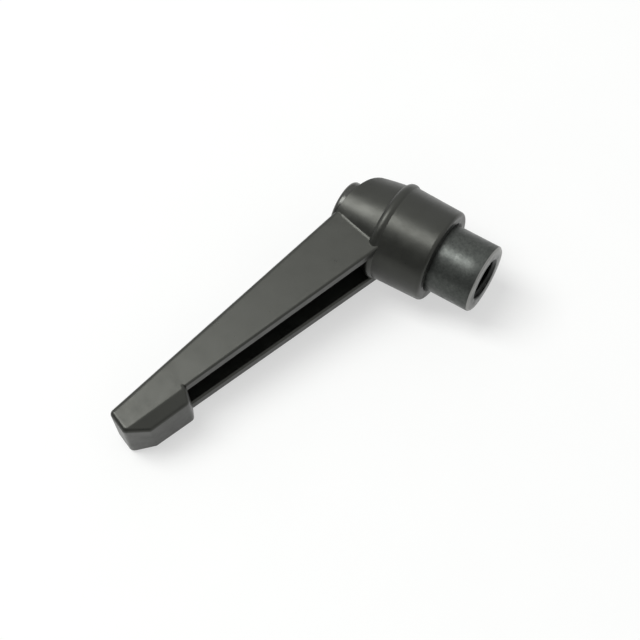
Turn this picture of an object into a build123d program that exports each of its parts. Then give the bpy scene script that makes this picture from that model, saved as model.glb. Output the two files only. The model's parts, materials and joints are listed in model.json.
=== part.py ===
from build123d import *
import os
from math import asin, cos, degrees, radians, sin, sqrt, tan

# Adjustable clamping lever with an M10 tapped bushing.
#
# A moulded lever sits on a steel bushing and is locked to it by a ring of teeth.
# A spring under the head of the retaining screw holds the teeth together. Pulling
# the lever up along the hub axis frees it, so that it can be turned to a new place
# and dropped back into mesh.
#
# Frame: the origin is the centre of the bushing's mouth, the hub axis is Y, the
# screw head is towards +Y, the arm points to -X, and +Z is up from the surface
# that the lever lies on. Millimetres.

# --- Threaded bushing: free-cutting steel, turned, with a toothed head ---
thread_bore_d = 8.5  # M10 x 1.5 drawn as its tapping drill
thread_depth = 11.5  # mouth to the end of the full bore
drill_point_angle = 118
countersink_d = 10.2
countersink_angle = 120
boss_d = 15.6
boss_projection = 10.6  # plain boss that shows below the skirt
boss_guide_length = 6.4  # plain boss that the skirt turns on
mouth_chamfer = 0.4

# --- Teeth that lock the lever to the bushing ---
tooth_count = 24
tooth_length = 4.0
tooth_height = 0.9
tooth_setback = 0.4  # tooth tips lie inside the plain boss
tooth_tip_land = 0.55
tooth_root_land = 1.25
tooth_lead_in = 0.45
lift_travel = 4.2

# --- Retaining screw: M6 x 16 pan head with a cross recess ---
screw_d = 6.0
screw_length = 16.0
screw_tip_chamfer = 0.6
screw_head_d = 12.0
screw_head_height = 4.6
screw_head_edge_r = 1.0
screw_head_proud = 2.9  # stands above the lever's crown
cross_width = 1.5
cross_span = 6.8
cross_depth = 2.6
cross_draft = 12

# --- Return spring ---
spring_mean_d = 9.4
spring_wire_d = 1.0
spring_turns = 4.0

# --- Lever hub, from the skirt up to the crown ---
skirt_length = 11.7
skirt_end_d = 21.3
skirt_d = 22.0  # at the bead: the mould's draft opens the skirt towards it
skirt_edge_r = 0.9
bead_d = 22.8
bead_width = 2.1
bead_step = 0.3  # ledge between the bead and the crown
crown_base_d = 21.0
crown_top_d = 19.2
crown_length = 6.2
top_height = 2.7  # hub axis, from the crown's rim line to the sloping top
top_rise = 9.5  # slope of the hub's top towards the arm, in degrees
top_edge_r = 3.0  # fades to a crisp edge beside the arm
top_round_d = 20.9  # the rounded top's circle, and how far its centre lies towards the arm
top_round_shift = 1.5
top_draft = 20.0
guide_chamfer = 0.5  # mouth of the bore that turns on the boss
spring_web = 2.2  # floor that the spring presses on

# --- Lever arm: a channel that is open towards the clamped part ---
arm_reach = 70.6  # hub axis to the tip
arm_root_width = 15.3  # across the flanks, at the hub axis
arm_tip_width = 12.3
ridge_rise = 14.2  # slope of the closed back, in degrees
ridge_drop = 0.1  # back's line crosses the hub axis this far below the hub's top
rim_rise = 20.8  # slope of the open side, in degrees
rim_drop = 0.5  # open side's line meets the hub this far below the middle of the bead
end_lean_angle = 20.0  # end face, from the hub axis, in degrees
channel_wall = 2.8
channel_back = 2.4
arm_edge_r = 1.1
rim_band = 2.0  # strip along the open side, with finer edges than the arm
rim_edge_r = 0.55
hub_blend_r = 1.1

# --- Grip block: the solid tip, deeper than the rest of the arm ---
grip_length = 15.0
grip_drop = 3.1
grip_ramp = 2.4
grip_facet_lean = 1.5  # how far the sides lean in over the drop
grip_nose_length = 3.4  # corner cut off under the tip
grip_nose_start = 0.1

# --- Clearances ---
running_clearance = 0.08  # boss in the skirt's bore, radial
mesh_clearance = 0.15  # round every tooth
seat_gap = 0.05
tooth_relief = 0.4  # lever's teeth start this far above the boss shoulder
shank_clearance = 0.35  # screw shank in the spring web, radial
head_clearance = 0.4  # screw head in its recess, radial
tapped_clearance = 0.05  # plain shank in the plain tapped hole, radial
tapped_hole_spare = 0.4


# Stations along the hub axis, from the mouth up
skirt_end_y = boss_projection
boss_top_y = boss_projection + boss_guide_length
bushing_top_y = boss_top_y + tooth_length
web_bottom_y = bushing_top_y + seat_gap
web_top_y = web_bottom_y + spring_web
bead_start_y = skirt_end_y + skirt_length
bead_end_y = bead_start_y + bead_width
bead_mid_y = (bead_start_y + bead_end_y) / 2
shoulder_y = bead_end_y + crown_length
crown_top_y = shoulder_y + top_height
head_top_y = crown_top_y + screw_head_proud
head_seat_y = head_top_y - screw_head_height
screw_tip_y = head_seat_y - screw_length
lever_teeth_y = boss_top_y + tooth_relief

# Radii about the hub axis
boss_r = boss_d / 2
guide_r = boss_r + running_clearance
tooth_tip_r = boss_r - tooth_setback
tooth_root_r = tooth_tip_r - tooth_height
recess_r = screw_head_d / 2 + head_clearance

# The hub and the tip of the arm lie on one surface, so the arm dips about the hub axis
rest_dip = degrees(asin((bead_d - arm_tip_width) / 2 / arm_reach))
arm_direction = (-cos(radians(rest_dip)), 0, -sin(radians(rest_dip)))
arm_side = Plane(
    origin=(0, 0, 0),
    x_dir=arm_direction,
    z_dir=(sin(radians(rest_dip)), 0, -cos(radians(rest_dip))),
)  # x runs along the arm and y up the hub axis
arm_plan = Plane(origin=(0, 0, 0), x_dir=arm_direction, z_dir=(0, 1, 0))


def ridge_y(along):
    """Height of the arm's closed back at a distance from the hub axis."""
    return crown_top_y - ridge_drop + along * tan(radians(ridge_rise))


def rim_y(along):
    """Height of the arm's open side, which meets the hub at the bead."""
    return bead_mid_y - rim_drop + (along - skirt_d / 2) * tan(radians(rim_rise))


def half_width(along):
    """Half the arm's width, which tapers from the hub to the tip."""
    return (arm_root_width + (arm_tip_width - arm_root_width) * along / arm_reach) / 2


def arm_point(along, height, across):
    """A point of the arm, from its place along the arm, up the hub axis and across the flanks."""
    run = Vector(*arm_direction) * along
    return run + Vector(0, height, 0) + Vector(arm_direction[2], 0, -arm_direction[0]) * across


def tooth_outline(growth):
    """A bushing tooth on the +X side, from inside the root circle to its tip, grown all round."""
    inner = tooth_root_r - tooth_height / 2
    tip = tooth_tip_r + growth
    root_half = tooth_root_land / 2 + growth
    tip_half = tooth_tip_land / 2 + growth
    return [(inner, -root_half), (tip, -tip_half), (tip, tip_half), (inner, root_half)]


# ---------------------------------------------------------------- threaded bushing
with BuildPart() as threaded_bushing:
    with BuildSketch(Plane.XY) as boss_profile:
        with BuildLine():
            Polyline(
                (0, 0),
                (boss_r - mouth_chamfer, 0),
                (boss_r, mouth_chamfer),
                (boss_r, boss_top_y),
                (0, boss_top_y),
                close=True,
            )
        make_face()
    revolve(axis=Axis.Y)

    # Toothed head, with its tooth ends bevelled to find the lever's teeth
    with BuildSketch(Plane.XZ.offset(-boss_top_y)) as toothed_head:
        Circle(tooth_root_r)
        with PolarLocations(0, tooth_count):
            Polygon(*tooth_outline(0), align=None)
    extrude(amount=-tooth_length)
    with BuildSketch(Plane.XY) as lead_in:
        with BuildLine():
            Polyline(
                (tooth_tip_r - tooth_lead_in, bushing_top_y),
                (tooth_tip_r + tooth_lead_in, bushing_top_y),
                (tooth_tip_r + tooth_lead_in, bushing_top_y - 2 * tooth_lead_in),
                close=True,
            )
        make_face()
    revolve(axis=Axis.Y, mode=Mode.SUBTRACT)

    # Blind thread bore with its countersink and drill point, turned about the axis
    with BuildSketch(Plane.XY) as bore_profile:
        bore_r = thread_bore_d / 2
        sink_depth = (countersink_d - thread_bore_d) / 2 / tan(radians(countersink_angle / 2))
        point_depth = bore_r / tan(radians(drill_point_angle / 2))
        with BuildLine():
            Polyline(
                (0, 0),
                (countersink_d / 2, 0),
                (bore_r, sink_depth),
                (bore_r, thread_depth),
                (0, thread_depth + point_depth),
                close=True,
            )
        make_face()
    revolve(axis=Axis.Y, mode=Mode.SUBTRACT)

    # Tapped hole for the retaining screw
    with BuildSketch(Plane.XZ.offset(-bushing_top_y)) as tapped_hole:
        Circle(screw_d / 2 + tapped_clearance)
    extrude(amount=bushing_top_y - screw_tip_y + tapped_hole_spare, mode=Mode.SUBTRACT)

# ---------------------------------------------------------------- retaining screw
with BuildPart() as retaining_screw:
    with BuildSketch(Plane.XY) as screw_profile:
        with BuildLine():
            Polyline(
                (0, screw_tip_y),
                (screw_d / 2 - screw_tip_chamfer, screw_tip_y),
                (screw_d / 2, screw_tip_y + screw_tip_chamfer),
                (screw_d / 2, head_seat_y),
                (screw_head_d / 2, head_seat_y),
                (screw_head_d / 2, head_top_y),
                (0, head_top_y),
                close=True,
            )
        make_face()
    revolve(axis=Axis.Y)
    head_rim = retaining_screw.edges().filter_by(GeomType.CIRCLE).group_by(Axis.Y)[-1]
    fillet(head_rim, radius=screw_head_edge_r)
    with BuildSketch(Plane.XZ.offset(-head_top_y)) as cross_recess:
        Rectangle(cross_span, cross_width)
        Rectangle(cross_width, cross_span)
    extrude(amount=cross_depth, taper=cross_draft, mode=Mode.SUBTRACT)

# ---------------------------------------------------------------- return spring
spring_base_y = web_top_y + seat_gap + spring_wire_d / 2
spring_height = head_seat_y - seat_gap - spring_wire_d / 2 - spring_base_y
with BuildPart() as return_spring:
    with BuildLine() as coil:
        Helix(
            pitch=spring_height / spring_turns,
            height=spring_height,
            radius=spring_mean_d / 2,
            center=(0, spring_base_y, 0),
            direction=(0, 1, 0),
        )
    with BuildSketch(Plane(origin=coil.line @ 0, z_dir=coil.line % 0)) as wire:
        Circle(spring_wire_d / 2)
    sweep(is_frenet=True)

# ---------------------------------------------------------------- channel in the arm
channel_end = arm_reach - grip_length
back_depth = channel_back / cos(radians(ridge_rise))
with BuildPart() as channel:
    with BuildSketch(arm_side) as channel_side:
        with BuildLine():
            Polyline(
                (0, rim_y(0) - skirt_length),
                (0, ridge_y(0) - back_depth),
                (channel_end, ridge_y(channel_end) - back_depth),
                (channel_end, rim_y(0) - skirt_length),
                close=True,
            )
        make_face()
    extrude(amount=arm_root_width, both=True)
    with BuildSketch(arm_plan) as channel_plan:
        root = half_width(0) - channel_wall
        tip = half_width(channel_end) - channel_wall
        with BuildLine():
            Polyline((0, -root), (channel_end, -tip), (channel_end, tip), (0, root), close=True)
        make_face()
    extrude(amount=2 * arm_reach, both=True, mode=Mode.INTERSECT)

# ---------------------------------------------------------------- strip along the arm's open side
grip_start = arm_reach - grip_length


def on_rim(edge, inset):
    """Whether an edge runs along the open side, at an inset from either flank."""
    along = grip_start / 2
    places = [
        arm_point(along, rim_y(along), side * (half_width(along) - inset)) for side in (-1, 1)
    ]
    return min((edge.center() - place).length for place in places) < rim_edge_r


with BuildPart() as rim_strip:
    with BuildSketch(arm_side) as strip_side:
        with BuildLine():
            Polyline(
                (0, rim_y(0)),
                (0, rim_y(0) + rim_band),
                (grip_start, rim_y(grip_start) + rim_band),
                (grip_start, rim_y(grip_start)),
                close=True,
            )
        make_face()
    extrude(amount=arm_root_width, both=True)
    with BuildSketch(arm_plan) as strip_taper:
        with BuildLine():
            Polyline(
                (0, -half_width(0)),
                (grip_start, -half_width(grip_start)),
                (grip_start, half_width(grip_start)),
                (0, half_width(0)),
                close=True,
            )
        make_face()
    extrude(amount=2 * arm_reach, both=True, mode=Mode.INTERSECT)
    fillet(rim_strip.edges().filter_by(lambda edge: on_rim(edge, 0)), radius=rim_edge_r)

# ---------------------------------------------------------------- crown of the hub
crown_taper = (crown_base_d - crown_top_d) / 2 / crown_length
top_normal = (sin(radians(top_rise)), cos(radians(top_rise)), 0)
with BuildPart() as crown:
    with BuildSketch(Plane.XY) as crown_profile:
        with BuildLine():
            Polyline(
                (0, bead_end_y),
                (crown_base_d / 2, bead_end_y),
                (crown_base_d / 2 - crown_taper * (head_top_y - bead_end_y), head_top_y),
                (0, head_top_y),
                close=True,
            )
        make_face()
    revolve(axis=Axis.Y)
    # Top slopes up towards the arm, under a rounded edge that lies off centre
    with BuildPart(mode=Mode.INTERSECT) as rounded_top:
        top_centre = (-top_round_shift, crown_top_y + top_round_shift * tan(radians(top_rise)), 0)
        with BuildSketch(Plane(origin=top_centre, z_dir=top_normal)):
            Circle(top_round_d / 2)
        extrude(amount=-(crown_length + top_height + top_edge_r), taper=-top_draft)
        fillet(rounded_top.faces().sort_by(Axis.Y)[-1].edges(), radius=top_edge_r)

# ---------------------------------------------------------------- blends between crown and flanks
blend_top_y = crown_top_y - arm_edge_r / 2
hub_blends = []
for side in (-1, 1):
    with BuildPart() as blend:
        for height in (bead_mid_y, blend_top_y):
            crown_r = crown_base_d / 2 - crown_taper * (height - bead_end_y)
            flank = half_width(sqrt(crown_r**2 - half_width(crown_r) ** 2))
            across = flank + hub_blend_r
            along = sqrt((crown_r + hub_blend_r) ** 2 - across**2)
            share = crown_r / (crown_r + hub_blend_r)
            corner = (along * share, across * share)
            deep = (corner[0] * 0.9, flank * 0.8)
            middle = Vector(-along, -across).normalized() + Vector(0, -1).normalized()
            middle = middle.normalized() * hub_blend_r
            with BuildSketch(arm_plan.offset(height)) as blend_section:
                with BuildLine():
                    ThreePointArc(
                        (along, side * flank),
                        (along + middle.X, side * (across + middle.Y)),
                        (corner[0], side * corner[1]),
                    )
                    Polyline(
                        (corner[0], side * corner[1]),
                        (deep[0], side * deep[1]),
                        (along, side * flank),
                    )
                make_face()
        loft(ruled=True)
    hub_blends.append(blend)

# ---------------------------------------------------------------- lever handle
end_lean = tan(radians(end_lean_angle))
nose_top = arm_reach + grip_nose_start * end_lean
nose_foot = arm_reach - grip_nose_length
with BuildPart() as lever_handle:
    # Side outline of the arm and its grip block
    with BuildSketch(arm_side) as arm_outline:
        back_end = arm_reach - (ridge_y(arm_reach) - rim_y(arm_reach)) * end_lean
        with BuildLine():
            Polyline(
                (0, rim_y(0)),
                (0, ridge_y(0)),
                (back_end, ridge_y(back_end)),
                (nose_top, rim_y(arm_reach) - grip_nose_start),
                (nose_foot, rim_y(nose_foot) - grip_drop),
                (grip_start + grip_ramp, rim_y(grip_start + grip_ramp) - grip_drop),
                (grip_start, rim_y(grip_start)),
                close=True,
            )
        make_face()
    extrude(amount=arm_root_width, both=True)
    # Flanks taper from the hub to the tip
    with BuildSketch(arm_plan) as arm_taper:
        with BuildLine():
            Polyline(
                (0, -half_width(0)),
                (nose_top, -half_width(nose_top)),
                (nose_top, half_width(nose_top)),
                (0, half_width(0)),
                close=True,
            )
        make_face()
    extrude(amount=2 * arm_reach, both=True, mode=Mode.INTERSECT)
    # Facets lean inwards from the rim line down the sides of the grip block
    for side in (-1, 1):
        rim_start = arm_point(grip_start, rim_y(grip_start), side * half_width(grip_start))
        rim_end = arm_point(arm_reach, rim_y(arm_reach), side * half_width(arm_reach))
        foot = arm_point(
            arm_reach,
            rim_y(arm_reach) - grip_drop,
            side * (half_width(arm_reach) - grip_facet_lean),
        )
        along_rim = rim_end - rim_start
        outward = along_rim.cross(foot - rim_end) * side
        split(bisect_by=Plane(origin=rim_start, x_dir=along_rim, z_dir=outward), keep=Keep.BOTTOM)
    # Shrinking and growing again rounds every edge alike, and the strip keeps the rim crisp
    offset(amount=-arm_edge_r, kind=Kind.INTERSECTION)
    offset(amount=arm_edge_r, kind=Kind.ARC)
    add(rim_strip.part)
    # Channel that is open towards the clamped part; the hub closes its end
    add(channel.part, mode=Mode.SUBTRACT)
    mouth = lever_handle.edges().filter_by(lambda edge: on_rim(edge, channel_wall))
    fillet(mouth, radius=rim_edge_r)

    # Skirt and bead of the hub, turned about its axis, under the crown
    with BuildSketch(Plane.XY) as hub_profile:
        with BuildLine():
            wall = Polyline(
                (0, skirt_end_y),
                (skirt_end_d / 2, skirt_end_y),
                (skirt_d / 2, bead_start_y),
            )
            bead = ThreePointArc(
                wall @ 1, (bead_d / 2, bead_mid_y), (crown_base_d / 2 + bead_step, bead_end_y)
            )
            Polyline(bead @ 1, (0, bead_end_y), wall @ 0)
        make_face()
    revolve(axis=Axis.Y)
    add(crown.part)
    # Blends where the flanks grow out of the crown
    add([blend.part for blend in hub_blends])

    # Skirt bore, screw shank hole and screw recess, turned about the axis
    with BuildSketch(Plane.XY) as hub_bores:
        with BuildLine():
            Polyline(
                (0, skirt_end_y),
                (guide_r + guide_chamfer, skirt_end_y),
                (guide_r, skirt_end_y + guide_chamfer),
                (guide_r, lever_teeth_y),
                (screw_d / 2 + shank_clearance, lever_teeth_y),
                (screw_d / 2 + shank_clearance, web_top_y),
                (recess_r, web_top_y),
                (recess_r, head_top_y),
                (0, head_top_y),
                close=True,
            )
        make_face()
    revolve(axis=Axis.Y, mode=Mode.SUBTRACT)
    with BuildSketch(Plane.XZ.offset(-lever_teeth_y)) as inner_teeth:
        Circle(tooth_root_r + mesh_clearance)
        with PolarLocations(0, tooth_count):
            Polygon(*tooth_outline(mesh_clearance), align=None)
    extrude(amount=lever_teeth_y - web_bottom_y, mode=Mode.SUBTRACT)
    skirt_edge = lever_handle.edges().filter_by(GeomType.CIRCLE).group_by(Axis.Y)[0]
    fillet(skirt_edge.sort_by(SortBy.LENGTH)[-1], radius=skirt_edge_r)
# ---------------------------------------------------------------- export
os.makedirs("parts", exist_ok=True)
threaded_bushing.part.label = "threaded_bushing"
export_step(threaded_bushing.part, "parts/threaded_bushing.step")
retaining_screw.part.label = "retaining_screw"
export_step(retaining_screw.part, "parts/retaining_screw.step")
return_spring.part.label = "return_spring"
export_step(return_spring.part, "parts/return_spring.step")
lever_handle.part.label = "lever_handle"
export_step(lever_handle.part, "parts/lever_handle.step")
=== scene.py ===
import json
from math import cos, pi, radians, sin, tan

import bmesh
import bpy
from mathutils import Matrix, Vector


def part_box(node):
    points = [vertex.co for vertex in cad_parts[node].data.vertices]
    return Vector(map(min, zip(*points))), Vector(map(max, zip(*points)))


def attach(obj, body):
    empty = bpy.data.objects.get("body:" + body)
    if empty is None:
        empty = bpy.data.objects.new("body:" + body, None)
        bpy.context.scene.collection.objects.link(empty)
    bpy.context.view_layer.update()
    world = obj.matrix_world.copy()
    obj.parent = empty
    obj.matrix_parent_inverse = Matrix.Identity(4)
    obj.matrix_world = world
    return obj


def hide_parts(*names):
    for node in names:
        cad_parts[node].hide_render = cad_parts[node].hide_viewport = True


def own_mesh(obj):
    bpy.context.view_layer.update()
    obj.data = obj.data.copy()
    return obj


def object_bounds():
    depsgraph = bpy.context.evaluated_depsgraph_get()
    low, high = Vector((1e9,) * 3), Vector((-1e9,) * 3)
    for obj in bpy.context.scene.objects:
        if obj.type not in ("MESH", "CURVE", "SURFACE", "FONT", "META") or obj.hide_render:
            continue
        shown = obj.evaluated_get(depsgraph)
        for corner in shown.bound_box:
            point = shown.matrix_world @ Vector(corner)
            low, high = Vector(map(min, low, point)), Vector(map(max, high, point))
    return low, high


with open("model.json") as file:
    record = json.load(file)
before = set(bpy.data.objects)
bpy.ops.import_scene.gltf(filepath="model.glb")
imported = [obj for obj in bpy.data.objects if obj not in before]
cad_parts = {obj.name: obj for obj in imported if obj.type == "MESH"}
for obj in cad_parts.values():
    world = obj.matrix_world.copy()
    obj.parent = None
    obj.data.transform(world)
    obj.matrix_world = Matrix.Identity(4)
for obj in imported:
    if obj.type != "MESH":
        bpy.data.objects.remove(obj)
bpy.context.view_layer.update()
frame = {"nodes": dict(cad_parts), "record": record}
MM = 0.001

# --- Turned steel bushing, in millimetres. The record and the CAD box give the main sizes. ---
STUD = next(m for m in frame["record"]["mounts"] if m["name"] == "stud_thread")
THREAD_MINOR_R = STUD["dims"]["r_mm"]
THREAD_LENGTH = STUD["dims"]["length_mm"]
THREAD_MAJOR_R = 5.0
THREAD_PITCH = 1.5
THREAD_CREST = 0.22  # flat share of half a pitch
THREAD_FLANK = 0.66  # sloping share of half a pitch
THREAD_RUN_OUT = 0.6  # plain bore left at the bottom, past the last turn
THREAD_ROW = 0.11  # height of one row of the mesh
DRILL_HALF_ANGLE = radians(59)
SINK_R = 5.1  # countersink at the mouth of the hole
SINK_SLOPE = tan(radians(60))
BUSHING_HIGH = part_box("threaded_bushing")[1]
BOSS_R = BUSHING_HIGH[0] / MM
BUSHING_TOP = BUSHING_HIGH[1] / MM
MOUTH_CHAMFER = 0.4
BOSS_ROWS = 6
TOOTH_COUNT = 24
TOOTH_LENGTH = 4.0  # along the axis
TOOTH_HEIGHT = 0.9
TOOTH_SETBACK = 0.4  # of the tips from the boss, so that the head passes the guide bore
TOOTH_TIP_LAND = 0.55
TOOTH_ROOT_LAND = 1.25
TOOTH_LEAD_IN = 0.45
SCREW_HOLE_R = 3.05
SCREW_HOLE_CHAMFER = 0.3
SCREW_HOLE_FLOOR = 15.2
NEEDLE_R = 0.02  # last ring before a closed end meets the axis

# --- Return spring, in millimetres inside its CAD box ---
SPRING_LOW, SPRING_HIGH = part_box("return_spring")
WIRE_R = 0.5
SPRING_R = SPRING_HIGH[0] / MM - WIRE_R
ACTIVE_TURNS = 3.0
COIL_PITCH = 2 * WIRE_R * 1.02  # of the closed coils at both ends
SEAT = 0.02  # height of the wire's centre at each end, as a share of that pitch
STEPS_PER_TURN = 44
WIRE_SIDES = 14

# --- Colours of the bushing's end: where they change, in metres up the axis and from it ---
END_HEIGHTS = (0.00034, 0.00042)
# the end grows lighter between these radii: a painted highlight on the rim and its chamfer
RIM_HIGHLIGHT_RADII = (0.0058, 0.0074)
BORE_RADII = (0.00495, 0.00510)
BORE_BLACK = (0.012, 0.013, 0.012)

# --- Studio. Lengths are in metres, and a strength of 1 is white. ---
FLOOR_SIZE = 6
FLOOR_GAP = 0.00002
FLOOR_GLOW = 0.55  # light of the floor's own, which keeps the shadow pale
SURROUND_LIGHT = 0.36  # from the world, on everything
DIM_WALL = 0.3  # the world as it is seen towards -X
LOW_WALL = 0.6  # the same on the other side, at the horizon
HIGH_WALL = 1.15  # and high above it
WALL_TURN = (-0.70, -0.10)  # X of a direction, from the dim side to the other
WALL_RISE = (0.0, 0.7)  # Z of a direction, from the horizon to high above it
SOFTBOX_DIRECTION = (-0.145, 0.42, 0.89)
SOFTBOX_DISTANCE = 1.5
SOFTBOX_WIDTH = 0.66
SOFTBOX_HEIGHT = 1.05
SOFTBOX_BRIGHTNESS = 7.8

# --- Camera, solved from the silhouette and from points on the hub ---
AZIMUTH, ELEVATION, ROLL = radians(-57.31), radians(62.035), radians(-0.782)
CAMERA_DISTANCE = 0.3401
AIM_RIGHT, AIM_UP = -0.03566, -0.00975  # from the frame's origin, across the view
LENS_MM, SENSOR_MM = 88.6, 36
VIEW_SHIFT = 5 / 640  # up, as a share of the picture's width


# ------------------------------------------------------------------------------------ materials
def feed(tree, value, socket):
    """Link another node's output to a socket, or set the socket to a plain value."""
    if isinstance(value, bpy.types.NodeSocket):
        tree.links.new(value, socket)
    else:
        socket.default_value = value


def map_range(tree, value, low, high, out_low, out_high):
    """A node that takes the first range of a value to the second."""
    node = tree.nodes.new("ShaderNodeMapRange")
    feed(tree, value, node.inputs["Value"])
    feed(tree, low, node.inputs["From Min"])
    feed(tree, high, node.inputs["From Max"])
    feed(tree, out_low, node.inputs["To Min"])
    feed(tree, out_high, node.inputs["To Max"])
    return node


class Nodes:
    """Short calls for building one material's node tree. Lengths are in metres."""

    def __init__(self, name):
        self.material = bpy.data.materials.new(name)
        self.material.use_nodes = True
        self.tree = self.material.node_tree
        self.tree.nodes.clear()
        self.output = self.add("ShaderNodeOutputMaterial")
        self.shader = self.add("ShaderNodeBsdfPrincipled")
        self.link(self.shader.outputs["BSDF"], self.output.inputs["Surface"])
        self.place = self.add("ShaderNodeTexCoord").outputs["Object"]

    def add(self, kind, **settings):
        node = self.tree.nodes.new(kind)
        for key, value in settings.items():
            setattr(node, key, value)
        return node

    def link(self, source, target):
        self.tree.links.new(source, target)

    def set(self, **values):
        for key, value in values.items():
            self.shader.inputs[key.replace("_", " ")].default_value = value

    def stretched(self, scale):
        mapping = self.add("ShaderNodeMapping")
        mapping.inputs["Scale"].default_value = scale
        self.link(self.place, mapping.inputs["Vector"])
        return mapping.outputs["Vector"]

    def noise(self, scale, detail=3.0, roughness=0.55, vector=None):
        node = self.add("ShaderNodeTexNoise")
        node.inputs["Scale"].default_value = scale
        node.inputs["Detail"].default_value = detail
        node.inputs["Roughness"].default_value = roughness
        self.link(vector or self.place, node.inputs["Vector"])
        return node.outputs["Fac"]

    def spread(self, value, low, high, out_low, out_high):
        return map_range(self.tree, value, low, high, out_low, out_high).outputs["Result"]

    def mix(self, factor, first, second):
        """Blend two colours; the first may be another node's output."""
        node = self.add("ShaderNodeMix", data_type="RGBA")
        feed(self.tree, (*first, 1) if isinstance(first, tuple) else first, node.inputs["A"])
        node.inputs["B"].default_value = (*second, 1)
        self.link(factor, node.inputs["Factor"])
        return node.outputs["Result"]

    def contrast(self, value, out_low=0, out_high=1, margin=0.3):
        """Stretch a noise's middle values over the range given."""
        return self.spread(value, margin, 1 - margin, out_low, out_high)

    def bump(self, height, distance, strength=1.0, normal=None):
        node = self.add("ShaderNodeBump")
        node.inputs["Strength"].default_value = strength
        node.inputs["Distance"].default_value = distance
        self.link(height, node.inputs["Height"])
        if normal is not None:
            self.link(normal, node.inputs["Normal"])
        return node.outputs["Normal"]

    def rounded_edges(self, radius):
        node = self.add("ShaderNodeBevel", samples=6)
        node.inputs["Radius"].default_value = radius
        return node.outputs["Normal"]


def moulded_plastic():
    """Black glass-filled plastic, rubbed in places, with a moulded grain."""
    n = Nodes("moulded_plastic")
    n.set(Specular_IOR_Level=0.5, IOR=1.5, Specular_Tint=(0.98, 1.0, 0.91, 1))
    blotches = n.contrast(n.noise(160, detail=4))
    colour = n.mix(blotches, (0.0085, 0.0090, 0.0079), (0.0140, 0.0146, 0.0130))
    n.link(colour, n.shader.inputs["Base Color"])
    rubbed = n.noise(300, detail=7, roughness=0.75)
    n.link(n.contrast(rubbed, 0.26, 0.43), n.shader.inputs["Roughness"])
    grain = n.bump(n.noise(5200, detail=2), 0.00001, strength=0.35, normal=n.rounded_edges(0.00018))
    swell = n.bump(n.noise(240, detail=2), 0.00003, strength=0.5, normal=grain)
    n.link(swell, n.shader.inputs["Normal"])
    return n.material


def turned_end(n, colour, bare_end_and_rim_highlight):
    """Lighten the end face and its chamfer as bare turned steel, with a painted highlight that
    rises towards the outer rim, and darken the bore.
    """
    along = n.add("ShaderNodeSeparateXYZ")
    n.link(n.place, along.inputs["Vector"])
    near_end = n.spread(along.outputs["Y"], *END_HEIGHTS, 1, 0)
    from_axis = n.add("ShaderNodeVectorMath", operation="LENGTH")
    n.link(n.stretched((1, 0, 1)), from_axis.inputs["Vector"])
    # painted highlight: the end is lighter towards the outer rim and its chamfer
    painted_rim_highlight = n.spread(from_axis.outputs["Value"], *RIM_HIGHLIGHT_RADII, 0.25, 1)
    end_with_rim_highlight = n.add("ShaderNodeMath", operation="MULTIPLY")
    n.link(near_end, end_with_rim_highlight.inputs[0])
    n.link(painted_rim_highlight, end_with_rim_highlight.inputs[1])
    colour = n.mix(end_with_rim_highlight.outputs["Value"], colour, bare_end_and_rim_highlight)
    in_bore = n.spread(from_axis.outputs["Value"], *BORE_RADII, 1, 0)
    return n.mix(in_bore, colour, BORE_BLACK)


def black_oxide(name, dark, light, rough_low, rough_high, metallic, bare_end_and_rim_highlight=None):
    """Blackened steel. Given an end colour, its end at y = 0 was turned after blackening, and it
    carries a painted highlight towards the outer rim.
    """
    n = Nodes(name)
    n.set(Metallic=metallic, Specular_IOR_Level=0.5)
    colour = n.mix(n.contrast(n.noise(1200, detail=6, roughness=0.8)), dark, light)
    if bare_end_and_rim_highlight is not None:
        colour = turned_end(n, colour, bare_end_and_rim_highlight)
    n.link(colour, n.shader.inputs["Base Color"])
    clouds = n.noise(420, detail=6, roughness=0.75)
    roughness = n.contrast(clouds, rough_low, rough_high, margin=0.35)
    n.link(roughness, n.shader.inputs["Roughness"])
    turning = n.noise(1.0, detail=3, vector=n.stretched((60, 5200, 60)))
    rings = n.bump(turning, 0.00001, strength=0.25, normal=n.rounded_edges(0.00012))
    pits = n.bump(n.noise(2400, detail=3), 0.00001, strength=0.3, normal=rings)
    n.link(pits, n.shader.inputs["Normal"])
    return n.material


def spring_wire():
    """Bare wire with marks from drawing."""
    n = Nodes("spring_wire")
    n.set(Metallic=1.0)
    drawn = n.noise(1.0, detail=4, vector=n.stretched((900, 3500, 900)))
    colour = n.mix(n.contrast(drawn), (0.30, 0.30, 0.29), (0.46, 0.46, 0.44))
    n.link(colour, n.shader.inputs["Base Color"])
    n.link(n.contrast(drawn, 0.24, 0.36), n.shader.inputs["Roughness"])
    n.link(n.bump(drawn, 0.000005, strength=0.4), n.shader.inputs["Normal"])
    return n.material


def seen_directly(tree):
    """1 for camera, glossy and transmission rays, and 0 for the rest."""
    rays = tree.nodes.new("ShaderNodeLightPath")
    result = rays.outputs["Is Camera Ray"]
    for kind in ("Is Glossy Ray", "Is Transmission Ray"):
        either = tree.nodes.new("ShaderNodeMath")
        either.operation = "MAXIMUM"
        tree.links.new(result, either.inputs[0])
        tree.links.new(rays.outputs[kind], either.inputs[1])
        result = either.outputs["Value"]
    return result


def floor_paper():
    """White paper. Part of its white is its own light, seen and mirrored but not cast around."""
    n = Nodes("floor_paper")
    n.set(Roughness=0.95, Specular_IOR_Level=0.1)
    fibres = n.contrast(n.noise(45, detail=5))
    colour = n.mix(fibres, (0.456, 0.462, 0.454), (0.464, 0.470, 0.462))
    n.link(colour, n.shader.inputs["Base Color"])
    glow = n.add("ShaderNodeEmission")
    glow.inputs["Color"].default_value = (1, 1, 1, 1)
    n.link(n.spread(seen_directly(n.tree), 0, 1, 0, FLOOR_GLOW), glow.inputs["Strength"])
    both = n.add("ShaderNodeAddShader")
    n.link(n.shader.outputs["BSDF"], both.inputs[0])
    n.link(glow.outputs["Emission"], both.inputs[1])
    n.link(both.outputs["Shader"], n.output.inputs["Surface"])
    return n.material


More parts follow.
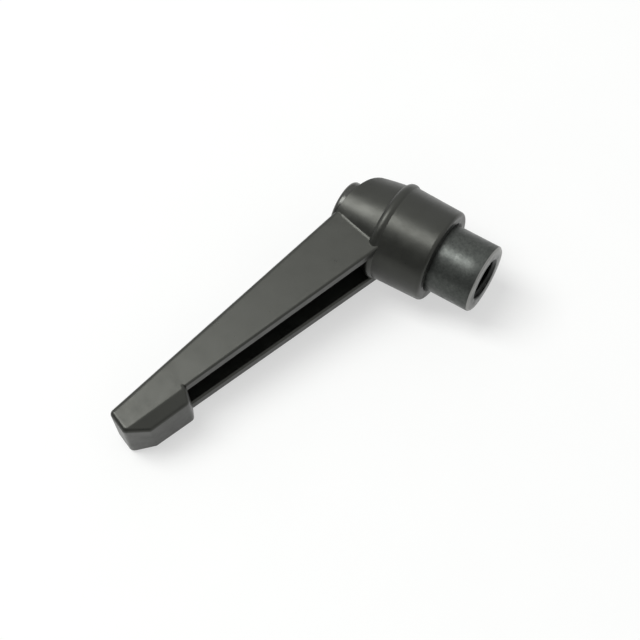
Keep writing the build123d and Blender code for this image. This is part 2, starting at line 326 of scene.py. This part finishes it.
# ------------------------------------------------------------------------------------ mesh helpers
def new_piece(name, bm, material, angle=35):
    """A smooth shaded object, with edges sharper than the angle in degrees kept crisp."""
    mesh = bpy.data.meshes.new(name)
    bmesh.ops.recalc_face_normals(bm, faces=bm.faces)
    bm.to_mesh(mesh)
    bm.free()
    piece = bpy.data.objects.new(name, mesh)
    bpy.context.scene.collection.objects.link(piece)
    mesh.materials.append(material)
    mesh.polygons.foreach_set("use_smooth", [True] * len(mesh.polygons))
    mesh.set_sharp_from_angle(angle=radians(angle))
    return piece


def round_axis(bm, radius, y, turn):
    """A vertex at a radius and height in millimetres, turned about the Y axis."""
    return bm.verts.new((radius * cos(turn) * MM, y * MM, radius * sin(turn) * MM))


def lathe(rings, angles):
    """A surface round the Y axis, closed on the axis at both ends.

    Each ring is its radius, or a function of the angle that gives it, and its height.
    """
    bm = bmesh.new()
    loops = []
    for radius, y in rings:
        radii = [radius(turn) if callable(radius) else radius for turn in angles]
        loops.append([round_axis(bm, r, y, turn) for r, turn in zip(radii, angles)])
    count = len(angles)
    for low, high in zip(loops, loops[1:]):
        for i in range(count):
            j = (i + 1) % count
            bm.faces.new((low[i], low[j], high[j], high[i]))
    for loop in (loops[0], loops[-1]):
        centre = sum((v.co for v in loop), Vector()) / count
        middle = bm.verts.new(centre)
        for i in range(count):
            bm.faces.new((middle, loop[i], loop[(i + 1) % count]))
    return bm


# ------------------------------------------------------------------------------------ bushing
def thread_radius(turn, y):
    """Wall of the tapped hole: a 60 degree thread that runs out at the bottom."""
    phase = (y / THREAD_PITCH + turn / (2 * pi)) % 1.0
    from_crest = abs(phase - 0.5) * 2
    depth = min(1.0, max(0.0, (from_crest - THREAD_CREST) / THREAD_FLANK))
    run_out = min(1.0, max(0.0, (THREAD_LENGTH - THREAD_RUN_OUT - y) / THREAD_PITCH))
    wall = THREAD_MINOR_R + (THREAD_MAJOR_R - THREAD_MINOR_R) * depth * run_out
    return max(wall, SINK_R - y * SINK_SLOPE)


def tooth_radius(turn, limit):
    """Outline of the toothed head at an angle, cut back to a limit near its end."""
    tip_r = BOSS_R - TOOTH_SETBACK
    root_r = tip_r - TOOTH_HEIGHT
    pitch = 2 * pi / TOOTH_COUNT
    offset = abs((turn + pitch / 2) % pitch - pitch / 2)
    root_half = tooth_half(root_r)
    tip_half = TOOTH_TIP_LAND / 2 / tip_r
    if offset <= tip_half:
        r = tip_r
    elif offset < root_half:
        r = tip_r + (root_r - tip_r) * (offset - tip_half) / (root_half - tip_half)
    else:
        r = root_r
    return min(r, limit)


def tooth_half(radius):
    """Half the angle of a tooth where it leaves the root circle."""
    inner = radius - TOOTH_HEIGHT / 2
    tip = radius + TOOTH_HEIGHT
    share = (radius - inner) / (tip - inner)
    return (TOOTH_ROOT_LAND + (TOOTH_TIP_LAND - TOOTH_ROOT_LAND) * share) / 2 / radius


def tooth_angles():
    """Angles of the mesh: five round each tooth and four in each gap."""
    pitch = 2 * pi / TOOTH_COUNT
    tip_half = TOOTH_TIP_LAND / 2 / (BOSS_R - TOOTH_SETBACK)
    root_half = tooth_half(BOSS_R - TOOTH_SETBACK - TOOTH_HEIGHT)
    steps = [-root_half, -tip_half, 0, tip_half, root_half]
    gap = (pitch - 2 * root_half) / 5
    steps += [root_half + gap * k for k in (1, 2, 3, 4)]
    return [tooth * pitch + step for tooth in range(TOOTH_COUNT) for step in steps]


def bushing():
    """Rings from the drill's point up the thread, round the boss and over the toothed head."""
    rings = [(NEEDLE_R, THREAD_LENGTH + THREAD_MINOR_R / tan(DRILL_HALF_ANGLE))]
    rows = int(THREAD_LENGTH / THREAD_ROW)
    for row in range(rows, 0, -1):
        y = THREAD_LENGTH * row / rows
        rings.append((lambda turn, y=y: thread_radius(turn, y), y))

    # Mouth, chamfer and plain boss, with close pairs of rings that keep the edges crisp
    boss_top = BUSHING_TOP - TOOTH_LENGTH
    rings += [(SINK_R, 0.0), (SINK_R + 0.12, 0.0)]
    rings += [(BOSS_R - MOUTH_CHAMFER, 0.0), (BOSS_R - MOUTH_CHAMFER + 0.04, 0.008)]
    rings += [(BOSS_R - 0.04, MOUTH_CHAMFER - 0.06), (BOSS_R, MOUTH_CHAMFER + 0.02)]
    boss_start, boss_end = MOUTH_CHAMFER + 0.02, boss_top - 0.2
    for k in range(1, BOSS_ROWS + 1):
        rings.append((BOSS_R, boss_start + (boss_end - boss_start) * k / BOSS_ROWS))
    rings.append((BOSS_R - 0.2, boss_top))

    # Toothed head with its lead-in, and the hole for the screw
    tip_r = BOSS_R - TOOTH_SETBACK
    for y in (boss_top, boss_top + 0.01, BUSHING_TOP - 2 * TOOTH_LEAD_IN):
        rings.append((lambda turn: tooth_radius(turn, tip_r), y))
    for share in (0.5, 1.0):
        limit = tip_r - TOOTH_LEAD_IN * share
        y = BUSHING_TOP - TOOTH_LEAD_IN * (1 - share)
        rings.append((lambda turn, limit=limit: tooth_radius(turn, limit), y))
    rings.append((SCREW_HOLE_R + SCREW_HOLE_CHAMFER, BUSHING_TOP))
    rings.append((SCREW_HOLE_R, BUSHING_TOP - SCREW_HOLE_CHAMFER))
    rings += [(SCREW_HOLE_R, SCREW_HOLE_FLOOR), (NEEDLE_R, SCREW_HOLE_FLOOR - 0.02)]
    return lathe(rings, tooth_angles())


# ------------------------------------------------------------------------------------ spring
def wire_height(turned, turns, low, high):
    """Height of the wire's centre after so many turns: the coil at each end is closed."""
    if turned < 1:
        return low + COIL_PITCH * (turned * turned * 0.5 + SEAT)
    if turned > turns - 1:
        return high - COIL_PITCH * ((turns - turned) ** 2 * 0.5 + SEAT)
    first = low + COIL_PITCH * (0.5 + SEAT)
    last = high - COIL_PITCH * (0.5 + SEAT)
    return first + (last - first) * (turned - 1) / ACTIVE_TURNS


def spring():
    """Round wire with a closed coil at each end, both ends ground flat."""
    low, high = SPRING_LOW[1] / MM, SPRING_HIGH[1] / MM
    turns = ACTIVE_TURNS + 2
    steps = int(turns * STEPS_PER_TURN)
    bm = bmesh.new()
    loops = []
    for k in range(steps + 1):
        turned = turns * k / steps
        y = wire_height(turned, turns, low, high)
        loop = []
        for side in range(WIRE_SIDES):
            a = 2 * pi * side / WIRE_SIDES
            height = min(max(y + WIRE_R * sin(a), low), high)
            loop.append(round_axis(bm, SPRING_R + WIRE_R * cos(a), height, 2 * pi * turned))
        loops.append(loop)
    for first, second in zip(loops, loops[1:]):
        for i in range(WIRE_SIDES):
            j = (i + 1) % WIRE_SIDES
            bm.faces.new((first[i], first[j], second[j], second[i]))
    bm.faces.new(loops[0])
    bm.faces.new(loops[-1])
    return bm


# ------------------------------------------------------------------------------------ pieces
plastic = moulded_plastic()
boss_steel = black_oxide(
    "boss_steel",
    dark=(0.036, 0.040, 0.037),
    light=(0.082, 0.088, 0.081),
    rough_low=0.27,
    rough_high=0.47,
    metallic=0.75,
    # bare turned end, lighter towards the rim as a painted highlight
    bare_end_and_rim_highlight=(0.27, 0.27, 0.26),
)
screw_steel = black_oxide(
    "screw_steel",
    dark=(0.045, 0.046, 0.042),
    light=(0.085, 0.086, 0.080),
    rough_low=0.20,
    rough_high=0.30,
    metallic=0.8,
)

bushing_piece = new_piece("bushing_body", bushing(), boss_steel)
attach(bushing_piece, "bushing")
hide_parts("threaded_bushing")

spring_piece = new_piece("spring_coil", spring(), spring_wire(), angle=60)
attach(spring_piece, "spring")
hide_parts("return_spring")
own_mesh(spring_piece)

for node, material in (("lever_handle", plastic), ("retaining_screw", screw_steel)):
    body = frame["nodes"][node]
    body.data.materials.clear()
    body.data.materials.append(material)

# ------------------------------------------------------------------------------------ stage
low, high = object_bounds()
bpy.ops.mesh.primitive_plane_add(size=FLOOR_SIZE, location=(0, 0, low[2] - FLOOR_GAP))
ground = bpy.context.object
ground.name = "ground"
ground.data.materials.append(floor_paper())


def white_background(tree, strength):
    node = tree.nodes.new("ShaderNodeBackground")
    node.inputs["Color"].default_value = (1, 1, 1, 1)
    feed(tree, strength, node.inputs["Strength"])
    return node


def studio_world():
    """Even light on everything, and walls from dim to bright where it is seen or mirrored."""
    world = bpy.data.worlds.new("studio")
    world.use_nodes = True
    tree = world.node_tree
    tree.nodes.clear()
    way = tree.nodes.new("ShaderNodeSeparateXYZ")
    tree.links.new(tree.nodes.new("ShaderNodeTexCoord").outputs["Generated"], way.inputs["Vector"])
    rise = map_range(tree, way.outputs["Z"], *WALL_RISE, LOW_WALL, HIGH_WALL)
    walls = map_range(tree, way.outputs["X"], *WALL_TURN, DIM_WALL, rise.outputs["Result"])
    walls.interpolation_type = "SMOOTHSTEP"
    surround = white_background(tree, SURROUND_LIGHT)
    backdrop = white_background(tree, walls.outputs["Result"])
    either = tree.nodes.new("ShaderNodeMixShader")
    tree.links.new(seen_directly(tree), either.inputs["Fac"])
    tree.links.new(surround.outputs["Background"], either.inputs[1])
    tree.links.new(backdrop.outputs["Background"], either.inputs[2])
    output = tree.nodes.new("ShaderNodeOutputWorld")
    tree.links.new(either.outputs["Shader"], output.inputs["Surface"])
    return world


def area_light(name, direction, distance, width, height, brightness, target):
    """A soft panel that faces the target; its brightness is what a mirror would show of it."""
    lamp = bpy.data.lights.new(name, "AREA")
    lamp.shape = "RECTANGLE"
    lamp.size = width
    lamp.size_y = height
    lamp.energy = brightness * pi * width * height
    holder = bpy.data.objects.new(name, lamp)
    way = Vector(direction).normalized()
    holder.location = target + way * distance
    holder.rotation_euler = way.to_track_quat("Z", "Y").to_euler()
    bpy.context.scene.collection.objects.link(holder)


bpy.context.scene.world = studio_world()
area_light(
    "overhead_softbox",
    SOFTBOX_DIRECTION,
    SOFTBOX_DISTANCE,
    SOFTBOX_WIDTH,
    SOFTBOX_HEIGHT,
    SOFTBOX_BRIGHTNESS,
    target=(Vector(low) + Vector(high)) / 2,
)


# ------------------------------------------------------------------------------------ camera
def photo_camera():
    """The camera at the photo's viewing angle. It looks along -back, with a little roll."""
    across = Vector((cos(AZIMUTH), sin(AZIMUTH), 0))
    back = Vector((sin(AZIMUTH) * cos(ELEVATION), -cos(AZIMUTH) * cos(ELEVATION), sin(ELEVATION)))
    right = across * cos(ROLL) + back.cross(across) * sin(ROLL)
    up = back.cross(right)
    place = AIM_RIGHT * right + AIM_UP * up + CAMERA_DISTANCE * back
    data = bpy.data.cameras.new("camera")
    data.lens = LENS_MM
    data.sensor_width = SENSOR_MM
    data.shift_y = VIEW_SHIFT
    camera = bpy.data.objects.new("camera", data)
    turned = Matrix((right, up, back)).transposed().to_4x4()
    camera.matrix_world = Matrix.Translation(place) @ turned
    bpy.context.scene.collection.objects.link(camera)
    return camera


bpy.context.scene.camera = photo_camera()
bpy.context.scene.view_settings.view_transform = "Standard"
